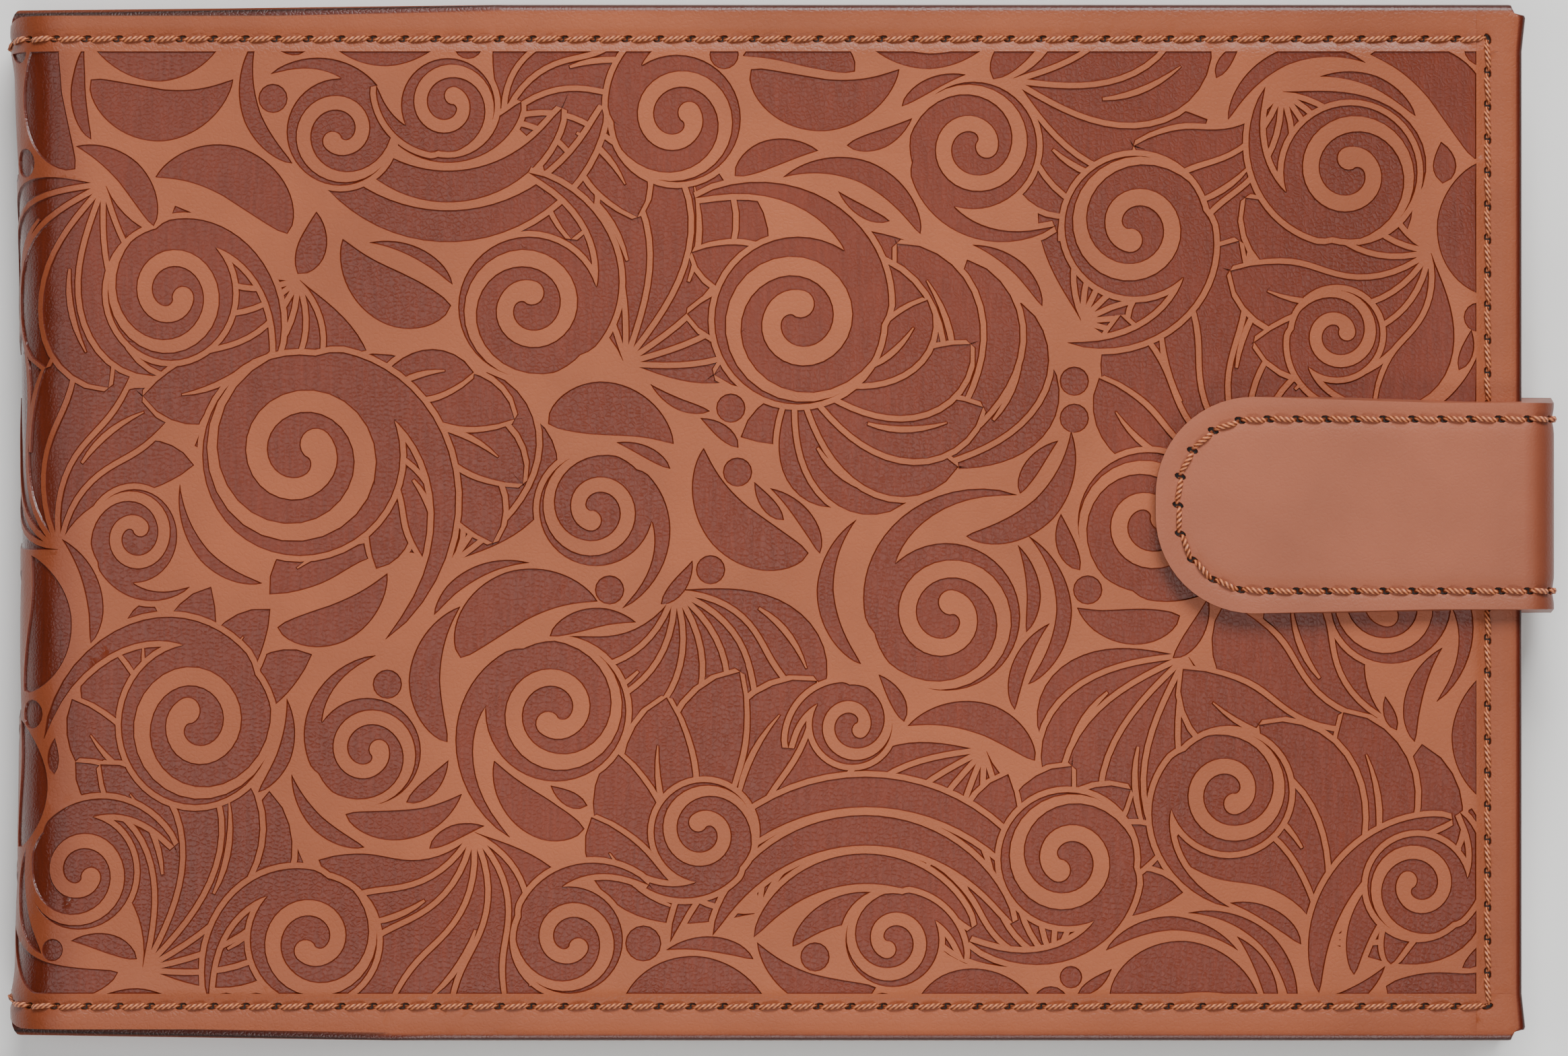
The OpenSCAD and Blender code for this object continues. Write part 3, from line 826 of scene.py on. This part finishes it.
lining_leather = leather(
    "lining_leather", (0.14, 0.062, 0.034, 1), (0.14, 0.062, 0.034, 1), (0.14, 0.062, 0.034, 1),
    (0.02, 0.01, 0.005, 1), 0.6, 0.0, 1100, 0.3, 0.05,
)
for side in ("front", "back"):
    def inside_face(u, y, h, over_strap=side == "back"):
        return on_cover(u, y, lining_depth(u, y, over_strap) + h, lining_drawn_in)

    piece = finish_piece(
        side + "_lining_sheet", lining_sheet(mid_spine, cover_w - lining_edge_in, lining_t * 0.9),
        inside_face, lining_leather, side == "back",
    )
    replaced = [side + "_lining"] + (["spine_lining"] if side == "front" else [])
    bend_round_spine(piece, replaced)

# ---- Pockets ------------------------------------------------------------
# A panel of the same leather is sewn over the lining round three sides of each cover. The refill's
# back card slides into the back one, and the front one holds loose papers.
pocket_t = 0.6
pocket_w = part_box("front_pocket")[1].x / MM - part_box("front_pocket")[0].x / MM + lining_edge_in
card_t = 0.5


def pocket_depth(u, y, card_inside):
    """Depth of the pocket's inner face"""
    lift = pocket_t + (card_t if card_inside else 0) * board_slope(u, y)
    return lining_depth(u, y, card_inside) + lift


for side in ("front", "back"):
    def pocket_face(u, y, h, card_inside=side == "back"):
        return on_cover(u, y, pocket_depth(u, y, card_inside) + h, lining_drawn_in)

    panel = lining_sheet(cover_w - pocket_w, cover_w - lining_edge_in, pocket_t * 0.9)
    piece = finish_piece(side + "_pocket_panel", panel, pocket_face, lining_leather, side == "back")
    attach(piece, side + "_cover")
    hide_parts(side + "_pocket")

# The same row of stitches shows inside
for side in ("front", "back"):
    def inner_seam(u, y, h, in_back=side == "back"):
        depth = np.where(u > cover_w - pocket_w, pocket_depth(u, y, in_back), lining_depth(u, y, in_back))
        return on_cover(u, y, depth + h, lining_drawn_in)

    threads = bmesh.new()
    sew(threads, cover_rows)
    bmesh.ops.scale(threads, vec=(1, 1, -1), verts=threads.verts)
    bmesh.ops.reverse_faces(threads, faces=threads.faces)
    piece = finish_piece(side + "_inner_stitches", threads, inner_seam, thread, side == "back", sharp=3)
    bend_round_spine(piece, [])

# ---- Strap --------------------------------------------------------------
# The closing strap is two leathers glued and sewn flesh to flesh, with raw cut edges. It is sewn
# into the back cover, goes up round the fore-edge and over the front, where its magnet holds.
strap_leather_t = 1.2
strap_lining_t = 0.9
strap_t = strap_leather_t + strap_lining_t
bend_r = 4.4
tip_r = 14.5
tip_flat = strap_w - 2 * tip_r
strap_seam_in = 3.3
root_z = fold_d
strap_top_z = (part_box("strap_tongue_leather")[1] / MM).z
tip_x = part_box("strap_tongue_leather")[0].x / MM
strap_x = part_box("strap_wall_leather")[1].x / MM
bend_x = strap_x - bend_r
anchor_in = 6.2
anchor_run = bend_x - (fore_x - anchor_in)
bend_run = bend_r * math.pi / 2
wall_run = strap_top_z - root_z - 2 * bend_r
mid_wall = anchor_run + bend_run + wall_run / 2
tongue_start = mid_wall + wall_run / 2 + bend_run
tip_u = tongue_start + bend_x - tip_x


def on_strap(u, v, d):
    """Puts places on the flat strap, in millimetres, round the cover's fore-edge, in metres. u runs
    from the strap's fixed end to its tip, v across it, and d goes in from its outer face"""
    first = np.clip((u - anchor_run) / bend_r, 0, math.pi / 2)
    second = np.clip((u - tongue_start + bend_run) / bend_r, 0, math.pi / 2)
    reach = bend_r - d
    rise = np.clip(u - anchor_run - bend_run, 0, wall_run)
    x = bend_x + reach * (np.sin(first) + np.cos(second) - 1)
    x = x - np.clip(anchor_run - u, 0, None) - np.clip(u - tongue_start, 0, None)
    z = root_z + bend_r - reach * np.cos(first) + rise + reach * np.sin(second)
    return np.column_stack((x, strap_y + v, z)) * MM


def strap_outline(inset, u0, u1):
    """Outline of the strap from u0 to u1, or round its tip where u1 is past it"""
    w = strap_w / 2 - inset
    points = [(u0, -w)]
    if u1 > tip_u:
        for side, first in ((-1, -90), (1, 0)):
            centre = (tip_u - tip_r, side * tip_flat / 2)
            for k in range(15):
                a = math.radians(first + 90 * k / 14)
                away = tip_r - inset
                points.append((centre[0] + away * math.cos(a), centre[1] + away * math.sin(a)))
    else:
        points.append((u1, -w))
        points.append((u1, w))
    points.append((u0, w))
    return points


def even_row(path, pitch):
    """Places an even distance apart along a path"""
    run = [0]
    for a, b in zip(path, path[1:]):
        run.append(run[-1] + math.dist(a, b))
    count = round(run[-1] / pitch)
    spots = []
    for k in range(count + 1):
        at = run[-1] * k / count
        i = max(j for j in range(len(run) - 1) if run[j] <= at + 1e-9)
        t = (at - run[i]) / (run[i + 1] - run[i])
        (x0, y0), (x1, y1) = path[i], path[i + 1]
        spots.append((x0 + (x1 - x0) * t, y0 + (y1 - y0) * t))
    return spots


def strap_valley(u, v, d):
    """The strap's leather, drawn down along its seam and rounded at its edge"""
    over_tip = np.hypot(np.clip(u - (tip_u - tip_r), 0, None), np.clip(np.abs(v) - tip_flat / 2, 0, None))
    inside = np.where(u > tip_u - tip_r, tip_r - over_tip, strap_w / 2 - np.abs(v))
    valley = 0.3 * np.exp(-((inside - strap_seam_in) / 1.1) ** 2)
    return on_strap(u, v, d + valley * np.clip(1 - d / strap_leather_t, 0, 1))


def strap_bend_painted_shade(u, v):
    """Painted shade: the strap is darkest round its two bends and along its wall between them, which turn
    away from the light
    """
    first_bend = ease(u, anchor_run + 1, anchor_run + 4)
    past_second = ease(u, tongue_start - 3.5, tongue_start + 1)
    return 0.95 * first_bend * (1 - past_second)


strap_leather = leather(
    "strap_leather", (0.295, 0.086, 0.042, 1), (0.295, 0.086, 0.042, 1), (0.295, 0.086, 0.042, 1),
    (0.012, 0.003, 0.002, 1), 0.48, 0.1, 1500, 0.3,
)
cut_edge = leather(
    "strap_cut_edge", (0.3, 0.14, 0.075, 1), (0.3, 0.14, 0.075, 1), (0.3, 0.14, 0.075, 1),
    (0.012, 0.003, 0.002, 1), 0.75, 0.0, 2400, 0.6,
)


def slab(outline, d0, d1, rows, spots, round_r):
    """One leather of the strap: its face, pierced by the needle, with the raw edge round it"""
    sheet = sink(cut_sheet(outline, row_holes(rows), spots), press_d, 0.12)
    for vertex in sheet.verts:
        vertex.co.z -= d0
    rim = [e for e in sheet.edges if e.is_boundary]
    cut = []
    for drop in (round_r, d1 - d0 - round_r):
        pulled = bmesh.ops.extrude_edge_only(sheet, edges=rim)["geom"]
        rim = [g for g in pulled if isinstance(g, bmesh.types.BMEdge)]
        cut += [g for g in pulled if isinstance(g, bmesh.types.BMFace)]
        lower = [g for g in pulled if isinstance(g, bmesh.types.BMVert)]
        bmesh.ops.translate(sheet, verts=lower, vec=(0, 0, -drop))
    # The face that closes the slab copies its neighbour, so the raw edge is marked after it
    bmesh.ops.contextual_create(sheet, geom=rim)
    for face in cut:
        face.material_index = 1
    return sheet


seam_w = strap_w / 2 - strap_seam_in
strap_pitch = 4.3
edge_round = 0.2
strap_parts = {
    "lower": (0, mid_wall, "back_cover", (bend_x, root_z), (strap_x, root_z + bend_r)),
    "upper": (mid_wall, tip_u + 1, "strap_tongue", (bend_x, strap_top_z), (strap_x, strap_top_z - bend_r)),
}
replaced_by = {
    "lower": (["strap_anchor_leather"], ["strap_anchor_lining"], []),
    "upper": (
        ["strap_tongue_leather", "strap_wall_leather"], ["strap_tongue_lining", "strap_wall_lining"],
        ["strap_tongue_seam", "strap_wall_seam"],
    ),
}
for part, (u0, u1, body, start, end) in strap_parts.items():
    if part == "upper":
        rows = [even_row(strap_outline(strap_seam_in, u0, u1), strap_pitch)]
    else:
        rows = [even_row([(u0, side * seam_w), (u1, side * seam_w)], strap_pitch) for side in (-1, 1)]
    spots = []
    for u in np.arange(u0 + 0.7, min(u1, tip_u), 0.9 if part == "lower" else 1.3):
        spots += [(u, v) for v in np.arange(-strap_w / 2 + 0.6, strap_w / 2, 0.9)]
    spots = [
        p for p in spots
        if p[0] < tip_u - tip_r
        or math.hypot(p[0] - tip_u + tip_r, max(0, abs(p[1]) - tip_flat / 2)) < tip_r - 0.4
    ]
    layers = (
        ("leather", 0, strap_leather_t, rows, strap_valley, strap_leather, "strap_leather"),
        ("lining", strap_leather_t, strap_t, [], on_strap, lining_leather, "lining_leather"),
    )
    for index, (layer, d0, d1, holes, place, skin, slot) in enumerate(layers):
        body_of_layer = slab(strap_outline(0.12 * index, u0, u1), d0, d1, holes, spots, edge_round)
        piece = finish_piece(
            "strap_" + part + "_" + layer, body_of_layer, place, skin,
            pressed_d=None if index else press_d, shade_and_darkening_map=strap_bend_painted_shade,
        )
        piece.data.materials.append(cut_edge)
        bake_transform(piece)
        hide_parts(*replaced_by[part][index])
    threads = bmesh.new()
    sew(threads, rows)
    piece = finish_piece("strap_" + part + "_stitches", threads, strap_valley, thread, sharp=3)
    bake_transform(piece)
    if replaced_by[part][2]:
        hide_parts(*replaced_by[part][2])

# ---- Refill -------------------------------------------------------------
# A pad of cream leaves, glued along the spine under a cloth tape, between two kraft cards. The
# leaves are trimmed together, so their edges are even to a tenth of a millimetre.
leaf_count = 96
block_low, block_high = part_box("page_block")
leaf_pitch = (block_high.z - block_low.z) / leaf_count
leaf_share = 0.8
shuffle = random.Random(7)
pad = bmesh.new()
for k in range(leaf_count):
    leaf = bmesh.ops.create_cube(pad, size=1)["verts"]
    long_side = block_high.x - block_low.x - shuffle.uniform(0, 0.25) * MM
    size = Vector((long_side, block_high.y - block_low.y, leaf_pitch * leaf_share))
    bmesh.ops.scale(pad, vec=size, verts=leaf)
    middle = (
        block_low.x + size.x / 2, shuffle.uniform(-0.1, 0.1) * MM, block_low.z + (k + 0.5) * leaf_pitch,
    )
    bmesh.ops.translate(pad, vec=middle, verts=leaf)
pad_mesh = bpy.data.meshes.new("leaves")
pad.to_mesh(pad_mesh)
pad.free()
leaves = bpy.data.objects.new("leaves", pad_mesh)
bpy.context.scene.collection.objects.link(leaves)
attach(leaves, "back_cover")
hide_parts("page_block")


def fibre_material(name, light, dark, scale, rough, bump, metal=0.0):
    """A plain material whose colour varies a little with its fibres"""
    material, nodes, links = new_material(name)
    place = put(nodes, "ShaderNodeTexCoord").outputs["Object"]
    fibres = put(nodes, "ShaderNodeTexNoise", {"Scale": scale, "Detail": 5, "Roughness": 0.7})
    links.new(place, fibres.inputs["Vector"])
    colour = blend_colour(nodes, links, fibres.outputs["Fac"], dark, light)
    links.new(colour, nodes["Principled BSDF"].inputs["Base Color"])
    nodes["Principled BSDF"].inputs["Roughness"].default_value = rough
    nodes["Principled BSDF"].inputs["Metallic"].default_value = metal
    relief = put(nodes, "ShaderNodeBump", {"Strength": bump, "Distance": 0.0001})
    links.new(fibres.outputs["Fac"], relief.inputs["Height"])
    links.new(relief.outputs["Normal"], nodes["Principled BSDF"].inputs["Normal"])
    return material


paper = fibre_material("leaf_paper", (0.86, 0.8, 0.66, 1), (0.76, 0.69, 0.54, 1), 900, 0.85, 0.1)
kraft = fibre_material("kraft_card", (0.52, 0.37, 0.22, 1), (0.38, 0.26, 0.15, 1), 700, 0.85, 0.2)
tape = fibre_material("book_cloth", (0.12, 0.1, 0.09, 1), (0.05, 0.04, 0.035, 1), 1500, 0.8, 0.5)
grey_board = fibre_material("grey_board", (0.36, 0.34, 0.3, 1), (0.27, 0.25, 0.22, 1), 500, 0.9, 0.2)
foam = fibre_material("padding_foam", (0.8, 0.78, 0.7, 1), (0.68, 0.66, 0.58, 1), 1200, 0.95, 0.3)
plated_steel = fibre_material("plated_steel", (0.6, 0.6, 0.62, 1), (0.5, 0.5, 0.52, 1), 400, 0.3, 0.05, 1.0)
pad_mesh.materials.append(paper)
for node, material in (
    ("refill_back_card", kraft), ("refill_front_card", kraft), ("refill_spine_tape", tape),
    ("front_board", grey_board), ("back_board", grey_board), ("front_padding", foam), ("back_padding", foam),
    ("keeper_plate", plated_steel), ("strap_magnet", plated_steel),
):
    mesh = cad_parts[node].data
    mesh.materials.clear()
    mesh.materials.append(material)
